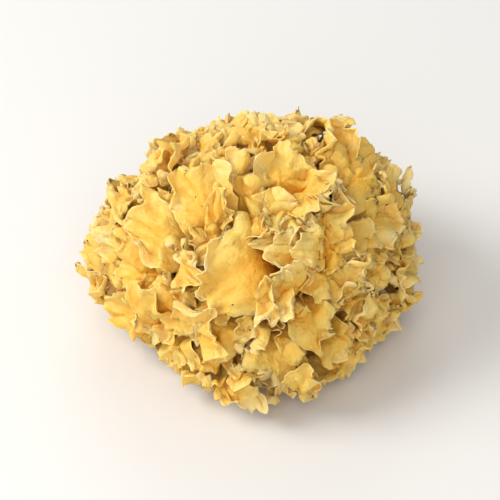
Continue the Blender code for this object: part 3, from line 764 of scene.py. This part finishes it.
def layPetal(petal, random, pleating):
    # A petal's middle surface, with v from root to tip and u from side to side. Out over the dome: the
    # length times v, less where u nears a side. Sideways: u times half the width, narrowed at the root by a
    # sine. Upwards: it climbs from the sunk root by a square and to its level by a smooth step, curls near
    # the tip by a sum of sine steps, and has a zigzag of folds, a sine of pleats and a square as its cup.
    length = petal["length"]
    width = petal.get("width", length * random.uniform(*petalSheet["widths"]))
    level = petal.get("height", petalSheet["levelShare"] * petals["levels"][petal.get("level", 0)])
    rows, columns = petalSheet["rows"], petalSheet["columns"]
    v, u = np.meshgrid(np.linspace(0, 1, rows + 1), np.linspace(-1, 1, columns + 1), indexing="ij")
    uneven = 0.0
    for rate, strength in petalSheet["unevenness"]:
        uneven = uneven + strength * np.sin(rate * u + random.uniform(0, 6))
    for spacing, deep in sheet["teeth"]:
        arch = np.abs(np.sin(np.pi * (0.5 * width * u / spacing + random.uniform())))
        uneven = uneven - deep / length * (1 - arch)
    run = v * (1 - petalSheet["tipRounding"] * u**2 + uneven)
    roundingStart, roundingRun = petalSheet["sideRounding"]
    rounding = np.sin(np.pi * np.minimum(roundingStart + roundingRun * v, 1.0))
    half = 0.5 * width * (1 - petalSheet["narrowing"] * (1 - rounding))
    skew = random.uniform(-petalSheet["skew"], petalSheet["skew"]) * width
    lateral = u * half + skew * v**2
    roll = random.uniform(*petalSheet["rimRolls"])
    less = petalSheet["rollUnevenness"]
    roll = roll * (1 - less + less * np.sin(3 * u + random.uniform(0, 6)))
    curling = smoothStep((v - petalSheet["curlStart"]) / (1 - petalSheet["curlStart"]))
    tilt = np.radians(petal["curl"] * curling + roll * smoothStep((v - 1) / petalSheet["rollShare"] + 1))
    step = length / rows
    out = np.cumsum(np.cos(tilt), axis=0) * step * (run / np.maximum(v, 1e-6))
    rise = np.cumsum(np.sin(tilt), axis=0) * step
    outwards = unit(petal["point"] - heart)
    pointing = unit(petal["pointing"] - (petal["pointing"] @ outwards) * outwards)
    side = np.cross(outwards, pointing)
    turned = unit(petal["point"] - heart + out[..., None] * pointing + lateral[..., None] * side)
    sunk = np.clip(1 - v / petalSheet["sinkShare"], 0, 1) ** 2
    folds = random.uniform(*petalSheet["foldCount"]) * u + random.uniform(0, 1)
    fold = random.uniform(*petalSheet["foldHeight"]) * (4 * np.abs(folds - np.round(folds)) - 1)
    pleats = pleating.uniform(*petalSheet["pleatCount"]) * u
    pleats = pleats + petalSheet["pleatDrift"] * np.sin(4 * u + pleating.uniform(0, 6))
    fold = fold + pleating.uniform(*petalSheet["pleatHeight"]) * np.sin(2 * np.pi * pleats)
    cup = random.uniform(*petalSheet["cup"]) * u**2
    height = -petalSheet["sink"] * sunk + level * smoothStep(v / petalSheet["levelEnd"]) + rise
    height = height + (fold + cup) * smoothStep(v / petalSheet["foldEnd"])
    radius = domeRadius(turned, 1.0) * (1 + clump["spread"]) + height
    inward = np.minimum(length * (1 - v), half * (1 - np.abs(u)))
    around = np.arctan2(lateral, out - petalSheet["ruffleCentre"] * length) * 0.25 * (length + width)
    return heart + radius[..., None] * turned, inward, v, around


def creased(swing, crispness):
    # a sine wave bent towards a zigzag: the arcsine of most of it, scaled back to its height
    return np.arcsin(crispness * swing) / np.arcsin(crispness)


def wavesIn(points, size, seed):
    # a seeded sum of creased plane waves, each moving points along its own direction
    random = np.random.default_rng(seed)
    moved = np.zeros_like(points)
    for wave in range(sheet["crumpleWaves"]):
        across = unit(random.normal(size=3)) * 2 * np.pi / (size * random.uniform(*waveSpread))
        along = unit(random.normal(size=3))
        swing = np.sin(points @ across + random.uniform(0, 2 * np.pi))
        moved += creased(swing, sheet["crispness"])[..., None] * along
    return moved / math.sqrt(sheet["crumpleWaves"])


def frilliness(points):
    # one, plus a bell curve for each frilly or smooth region
    headings = unit(points - heart)
    factor = np.ones(points.shape[:-1])
    for azimuth, polar, width, strength in sheet["frilliness"]:
        factor += (strength - 1) * bell(headings, azimuth, polar, width)
    return factor


def ruffled(points, inward, way, random):
    # moves a sheet near its rim along its normals by creased waves, in patches, which fade out inwards
    wave = np.zeros(points.shape[:2])
    for length, height, far in sheet["ruffles"]:
        shift = random.uniform(size=3)
        drift = np.sin(2 * np.pi * (sheet["ruffleDriftRate"] * way / length + shift[1]))
        phase = way / length + shift[0] + sheet["ruffleDrift"] * drift
        swing = creased(
            np.sin(2 * np.pi * (phase + sheet["ruffleSlant"] * inward / length)), sheet["ruffleCrispness"]
        )
        patchWave = np.sin(2 * np.pi * (sheet["rufflePatchRate"] * way / length + shift[2]))
        patch = 1 - sheet["rufflePatch"] + sheet["rufflePatch"] * patchWave
        wave += height * patch * swing * np.exp(-inward / far)
    return points + (wave * frilliness(points))[..., None] * normalsOf(points)


def crumpled(points, share):
    # adds the crumples, more where the share is higher, and levels out near the ground by an exponential
    frills = frilliness(points)
    for size, height, seed, power in sheet["crumples"]:
        strength = height * frills * share**power
        points = points + strength[..., None] * wavesIn(points, size, seed)
    height = points[..., 2]
    calm, clearance = sheet["calmHeight"], sheet["clearance"]
    levelled = clearance + (calm - clearance) * np.exp((height - calm) / (calm - clearance))
    points[..., 2] = np.where(height < calm, levelled, height)
    return points


def frondGrid(place, name, record):
    # The finished middle surface of a frond: the grown sheet, cut into lobes and teeth, ruffled and
    # crumpled. Rows and columns are v and u, evened out along the rim. With it: mm to the rim, and final v.
    reach = fronds[name][4]
    random = np.random.default_rng(sheet["rimSeed"] + place)
    dense = np.linspace(0, 1, sheet["rimSamples"])
    v = np.linspace(0, 1, sheet["rows"] + 1)
    v = 1 - (1 - v) ** sheet["rowPower"]
    rough = grownPoints(record, reach * (1 - gentleCut(place, dense)), dense)
    outer = wayAlong(rough)
    evenness = sheet["rimEvenness"]
    blend = evenness * outer / outer[-1] + (1 - evenness) * dense
    u = np.interp(np.linspace(0, 1, sheet["columns"] + 1), blend, dense)
    way = np.interp(u, dense, outer)
    teeth = np.zeros(len(u))
    for spacing, deep in sheet["teeth"]:
        drift = np.sin(2 * np.pi * (way / (spacing * sheet["toothDriftSpan"]) + random.uniform()))
        arch = np.abs(np.sin(np.pi * (way / spacing + random.uniform() + sheet["toothDrift"] * drift)))
        patch = np.sin(2 * np.pi * (way / (spacing * sheet["toothPatchSpan"]) + random.uniform())) ** 2
        teeth += deep * (1 - arch) * (1 - sheet["toothPatch"] + sheet["toothPatch"] * patch)
    vv, uu = np.meshgrid(v, u, indexing="ij")
    vv = vv * (1 - teeth / sheet["climb"] * vv**2)
    points = grownPoints(record, vv * reach * (1 - gentleCut(place, uu)), uu)
    inward = (1 - vv) * sheet["climb"]
    return crumpled(ruffled(points, inward, way, random), vv), inward, vv


def petalGrid(petal, random, pleating):
    # the finished middle surface of a petal, likewise
    points, inward, v, around = layPetal(petal, random, pleating)
    points = crumpled(ruffled(points, inward, around, random), np.maximum(v, petalSheet["leastCrumpling"]))
    return points, inward, np.maximum(v, petalSheet["leastDepth"])


def closedShell(points, thickness):
    # both faces of a sheet, half its thickness to either side of it, and a strip round its border
    rows, columns = points.shape[0] - 1, points.shape[1] - 1
    half = 0.5 * thickness[..., None] * normalsOf(points)
    vertices = np.concatenate([(points + half).reshape(-1, 3), (points - half).reshape(-1, 3)])
    first = np.arange(rows)[:, None] * (columns + 1) + np.arange(columns)
    front = np.stack([first, first + columns + 1, first + columns + 2, first + 1], axis=-1).reshape(-1, 4)
    count = points.shape[0] * points.shape[1]
    back = front[:, ::-1] + count
    index = np.arange(count).reshape(points.shape[:2])
    border = np.concatenate([index[0, ::-1], index[1:, 0], index[-1, 1:], index[-2::-1, -1]])
    after = np.roll(border, -1)
    strip = np.stack([border, border + count, after + count, after], axis=-1)
    return vertices, np.concatenate([front, back, strip[border != after]])


def addObject(name, data):
    thing = bpy.data.objects.new(name, data)
    bpy.context.scene.collection.objects.link(thing)
    return thing


def newPiece(name, vertices, faces, material, values):
    # a smooth-shaded mesh of four-cornered faces, in metres, with named values per vertex
    mesh = bpy.data.meshes.new(name)
    mesh.vertices.add(len(vertices))
    mesh.vertices.foreach_set("co", (vertices * 0.001).astype(np.float32).ravel())
    mesh.loops.add(faces.size)
    mesh.loops.foreach_set("vertex_index", faces.ravel().astype(np.int32))
    mesh.polygons.add(len(faces))
    mesh.polygons.foreach_set("loop_start", np.arange(0, faces.size, 4, dtype=np.int32))
    mesh.update(calc_edges=True)
    mesh.validate()
    mesh.shade_smooth()
    for label, numbers in values.items():
        attribute = mesh.attributes.new(label, "FLOAT", "POINT")
        attribute.data.foreach_set("value", numbers.astype(np.float32))
    mesh.materials.append(material)
    return addObject(name, mesh)


def srgb(text):
    # a hex colour to linear light: c / 12.92 up to 0.04045, else ((c + 0.055) / 1.055) to the power 2.4
    parts = [int(text[at : at + 2], 16) / 255 for at in (1, 3, 5)]
    return tuple(c / 12.92 if c <= 0.04045 else ((c + 0.055) / 1.055) ** 2.4 for c in parts) + (1.0,)


def addNode(tree, kind, settings={}, links={}, stops=()):
    # adds a node with its settings, links from other nodes' outputs, and a colour ramp's stops, each a
    # place and a hex colour; gives the node's outputs
    node = tree.nodes.new("ShaderNode" + kind)
    for name, value in settings.items():
        if isinstance(name, str) and hasattr(node, name):
            setattr(node, name, value)
        else:
            node.inputs[name].default_value = value
    for name, output in links.items():
        tree.links.new(output, node.inputs[name])
    for extra in stops[2:]:
        node.color_ramp.elements.new(0.5)
    for at, (place, colour) in enumerate(stops):
        node.color_ramp.elements[at].position = place
        node.color_ramp.elements[at].color = srgb(colour)
    return node.outputs


def newMaterial(name, settings):
    # a material with the main shader's inputs set
    material = bpy.data.materials.new(name)
    material.use_nodes = True
    shader = material.node_tree.nodes["Principled BSDF"]
    for label, value in settings.items():
        shader.inputs[label].default_value = value
    return material, material.node_tree, shader.inputs


# Dried fungus membrane: an air-dried jelly sheet, thin and brittle. It lets light through, so that the
# hollows glow golden, and its satin skin catches the light. Rims are paler, partly their own tone and partly
# painted light shining through the thin rims; roots are a deeper gold, partly their own tone and partly
# painted shade deep in the clump; dark specks lie on it.
membrane = {
    # the ramp's deep end is reached at the roots, partly through painted shade, and its pale end at the rims,
    # partly through painted light
    "colours": ((0.0, "#D27406"), (0.35, "#EF9A18"), (0.58, "#F4B43C"), (0.78, "#F8CA64"), (1.0, "#FCE1A0")),
    # the place on the ramp: in the middle of a sheet, and how much paler near the rim and on its edge, partly
    # the rims' own tone and partly painted light shining through them
    "middle": 0.42,
    "rimToneAndPaintedLight": 0.36,
    "rimReach": 16.0,  # mm
    "edgeToneAndPaintedLight": 0.05,
    "edgeReach": 0.9,  # mm
    "rootToneAndPaintedShade": 0.35,  # how much deeper in colour the roots are, partly their own tone and partly painted shade deep in the clump, and up to where
    "rootToneAndShadeEnd": 0.6,
    "blotchMm": 9.0,
    "blotchStrength": 0.7,
    "roughness": (0.36, 0.6),
    "gloss": 0.4,
    "scatter": 0.55,
    "scatterMm": 0.8,
    # bumps: size in mm, strength and height in mm
    "creases": (2.4, 0.45, 0.4),
    "wrinkles": (1.3, 0.9, 0.5),
    "grain": (0.45, 0.4, 0.1),
    "specks": (3.6, 0.055, 0.16),  # spacing in mm, size, and share of places that bear one
    "speckColour": "#4A2A10",
}


def palenessOf(inward, depth):
    # paler towards the rim by a smooth step and on its edge by an exponential, partly own tone and partly
    # painted light; deeper at the root, partly own tone and partly painted shade
    rimToneAndLight = membrane["rimToneAndPaintedLight"] * smoothStep(1 - inward / membrane["rimReach"])
    edgeToneAndLight = membrane["edgeToneAndPaintedLight"] * np.exp(-inward / membrane["edgeReach"])
    rootToneAndShade = membrane["rootToneAndPaintedShade"] * (1 - smoothStep(depth / membrane["rootToneAndShadeEnd"]))
    return membrane["middle"] + rimToneAndLight + edgeToneAndLight - rootToneAndShade


def driedMembrane():
    # colour: the paleness, which holds painted light at the rims and painted shade at the roots, and a noise
    # of blotches pick a place on the ramp, and small cells are specks
    material, tree, inputs = newMaterial("dried_fungus_membrane", {
        "Specular IOR Level": membrane["gloss"],
        "Subsurface Weight": membrane["scatter"],
        "Subsurface Radius": (1.0, 1.0, 1.0),
        "Subsurface Scale": membrane["scatterMm"] * 0.001,
    })
    where = addNode(tree, "TexCoord")["Object"]
    paleness = addNode(tree, "Attribute", {"attribute_name": "paleness"})["Fac"]
    blotches = {"Scale": 1000 / membrane["blotchMm"], "Detail": 5.0, "Roughness": 0.58}
    blotch = addNode(tree, "TexNoise", blotches, {"Vector": where})["Fac"]
    strength = membrane["blotchStrength"]
    mixed = addNode(tree, "Math", {"operation": "MULTIPLY_ADD", 1: strength}, {0: blotch, 2: paleness})[0]
    centred = addNode(tree, "Math", {"operation": "SUBTRACT", 1: 0.5 * strength}, {0: mixed})[0]
    ramp = addNode(tree, "ValToRGB", {}, {0: centred}, membrane["colours"])["Color"]
    spacing, size, share = membrane["specks"]
    cells = addNode(tree, "TexVoronoi", {"Scale": 1000 / spacing}, {"Vector": where})
    small = addNode(tree, "Math", {"operation": "LESS_THAN", 1: size}, {0: cells["Distance"]})[0]
    chance = addNode(tree, "SeparateColor", {}, {0: cells["Color"]})[0]
    few = addNode(tree, "Math", {"operation": "LESS_THAN", 1: share}, {0: chance})[0]
    specks = addNode(tree, "Math", {"operation": "MULTIPLY"}, {0: small, 1: few})[0]
    dark = {"Color2": srgb(membrane["speckColour"])}
    tree.links.new(addNode(tree, "MixRGB", dark, {"Fac": specks, "Color1": ramp})[0], inputs["Base Color"])
    lowest, highest = membrane["roughness"]
    tree.links.new(addNode(tree, "MapRange", {3: lowest, 4: highest}, {0: blotch})[0], inputs["Roughness"])

    # skin: creases like crumpled paper's, from cells that the wrinkles bend, then wrinkles, then grain
    scales = {label: 1000 / membrane[label][0] for label in ("creases", "wrinkles", "grain")}
    crinkled = {"Scale": scales["wrinkles"], "Detail": 3.0, "Distortion": 0.6}
    wrinkles = addNode(tree, "TexNoise", crinkled, {"Vector": where})
    fine = {"Scale": scales["grain"], "Detail": 2.0}
    shift = {"operation": "MULTIPLY_ADD", 1: (0.001, 0.001, 0.001)}
    bent = addNode(tree, "VectorMath", shift, {0: wrinkles["Color"], 2: where})[0]
    patterns = {
        "creases": addNode(tree, "TexVoronoi", {"Scale": scales["creases"]}, {"Vector": bent})["Distance"],
        "wrinkles": wrinkles["Fac"],
        "grain": addNode(tree, "TexNoise", fine, {"Vector": where})["Fac"],
    }
    skin = {}
    for label, pattern in patterns.items():
        bump = {"Strength": membrane[label][1], "Distance": membrane[label][2] * 0.001}
        skin = {"Normal": addNode(tree, "Bump", bump, {"Height": pattern, **skin})["Normal"]}
    tree.links.new(skin["Normal"], inputs["Normal"])
    return material


# Tough dried base: matt, golden brown and fibrous, with saw marks on the cut face.
toughBase = {
    "colours": ((0.25, "#7A4A14"), (0.6, "#B37A2A"), (1.0, "#D6A24C")),
    "roughness": 0.72,
    "fibreMm": 1.6,
    "fibreStretch": 0.35,
    "sawMm": 0.9,
    "sawStrength": 0.25,
    "faceHeight": 0.00005,  # in metres, below which a point is on the cut face
    "bump": 0.6,
    "bumpMm": 0.4,
}


def cutBase():
    # the colour follows noise stretched upwards into fibres, and on the cut face saw marks as well
    material, tree, inputs = newMaterial("tough_dried_base", {"Roughness": toughBase["roughness"]})
    where = addNode(tree, "TexCoord")["Object"]
    stretch = {"Scale": (1.0, 1.0, toughBase["fibreStretch"])}
    stretched = addNode(tree, "Mapping", stretch, {"Vector": where})[0]
    fibrous = {"Scale": 1000 / toughBase["fibreMm"], "Detail": 5.0}
    fibres = addNode(tree, "TexNoise", fibrous, {"Vector": stretched})["Fac"]
    # a mark of the wave texture is about 0.16 of its unit wide
    saw = {"Scale": 160 / toughBase["sawMm"], "Distortion": 1.5, "Detail": 3.0}
    marks = addNode(tree, "TexWave", saw, {"Vector": where})["Fac"]
    height = addNode(tree, "SeparateXYZ", {}, {0: where})[2]
    face = addNode(tree, "Math", {"operation": "LESS_THAN", 1: toughBase["faceHeight"]}, {0: height})[0]
    sawn = addNode(tree, "Math", {"operation": "MULTIPLY"}, {0: face, 1: marks})[0]
    adding = {"operation": "MULTIPLY_ADD", 1: toughBase["sawStrength"]}
    value = addNode(tree, "Math", adding, {0: sawn, 2: fibres})[0]
    ramp = addNode(tree, "ValToRGB", {}, {0: value}, toughBase["colours"])["Color"]
    tree.links.new(ramp, inputs["Base Color"])
    bump = {"Strength": toughBase["bump"], "Distance": toughBase["bumpMm"] * 0.001}
    tree.links.new(addNode(tree, "Bump", bump, {"Height": value})["Normal"], inputs["Normal"])
    return material


say("growing")
records = growFronds()
say("grown")
chosen = fillPetals(addMainSheets(choosePetals([sampleRim(record) for record in records])))
say(f"{len(chosen)} petals chosen")
membraneMaterial = driedMembrane()
pleating = np.random.default_rng(petalSheet["pleatSeed"])
triangles = 0
for place, name in enumerate(fronds):
    random = np.random.default_rng(petalSheet["seed"] + place)
    grids = [frondGrid(place, name, records[place])]
    grids += [petalGrid(petal, random, pleating) for petal in chosen if petal["frond"] == place]
    vertices, faces, paleness, count = [], [], [], 0
    for points, inward, depth in grids:
        fullness = smoothStep(inward / sheet["thickening"])
        thickness = sheet["rimThickness"] + (sheet["rootThickness"] - sheet["rimThickness"]) * fullness
        shellVertices, shellFaces = closedShell(points, thickness)
        vertices.append(shellVertices)
        faces.append(shellFaces + count)
        # paleness per vertex: paler at the rims, partly painted light, and deeper at the roots, partly
        # painted shade
        paleness.append(np.tile(palenessOf(inward, depth).ravel(), 2))
        count += len(shellVertices)
    piece = newPiece(
        name.replace("frond_", "sheet_"), np.concatenate(vertices), np.concatenate(faces), membraneMaterial,
        {"paleness": np.concatenate(paleness)},
    )
    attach(piece, "root")
    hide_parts(name)
    triangles += 2 * len(piece.data.polygons)
say(f"sheets made, {triangles} triangles")

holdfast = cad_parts["holdfast"]
holdfast.data.materials.clear()
holdfast.data.materials.append(cutBase())

# The studio, in metres: a pale floor, soft light from the left, and the photograph's viewing angle.
studio = {
    "floorColour": "#E4E2DE",
    "floorRoughness": 0.9,
    "floorHalf": 3.0,
    "elevation": 42.0,
    "distance": 0.535,
    "targetHeight": 0.0175,
    "lensMm": 190.0,
    # softboxes: place, size and power in watts
    "softboxes": {
        "key": ((-0.5, -0.05, 0.5), 0.36, 3.7),
        "fill": ((-0.05, -0.55, 0.45), 0.55, 1.9),
        "rim": ((0.0, 0.6, 0.45), 0.4, 1.0),
    },
    "lightHeight": 0.02,  # of the point that they all face
    "surroundings": 0.46,
}

# matt paper: dull and plain, so that nothing shines on it
paper = {"Base Color": srgb(studio["floorColour"]), "Roughness": studio["floorRoughness"]}
half = studio["floorHalf"]
floorMesh = bpy.data.meshes.new("floor")
corners = [(-half, -half, 0), (half, -half, 0), (half, half, 0), (-half, half, 0)]
floorMesh.from_pydata(corners, [], [(0, 1, 2, 3)])
floorMesh.materials.append(newMaterial("matt_paper", paper)[0])
addObject("floor", floorMesh)

camera = bpy.data.cameras.new("camera")
camera.lens = studio["lensMm"]
camera.clip_start = 0.01
cameraObject = addObject("camera", camera)
elevation = math.radians(studio["elevation"])
towardsViewer = Vector((0, -math.cos(elevation), math.sin(elevation)))
cameraObject.location = Vector((0, 0, studio["targetHeight"])) + towardsViewer * studio["distance"]
cameraObject.rotation_euler = (-towardsViewer).to_track_quat("-Z", "Y").to_euler()
bpy.context.scene.camera = cameraObject

for name, (place, size, power) in studio["softboxes"].items():
    light = bpy.data.lights.new(name, "AREA")
    light.size = size
    light.energy = power
    box = addObject(name, light)
    box.location = place
    facing = Vector((0, 0, studio["lightHeight"])) - Vector(place)
    box.rotation_euler = facing.to_track_quat("-Z", "Y").to_euler()
world = bpy.data.worlds.new("studio")
bpy.context.scene.world = world
world.use_nodes = True
world.node_tree.nodes["Background"].inputs[0].default_value = (1, 1, 1, 1)
world.node_tree.nodes["Background"].inputs[1].default_value = studio["surroundings"]
bpy.context.scene.view_settings.view_transform = "Standard"
say("studio set")
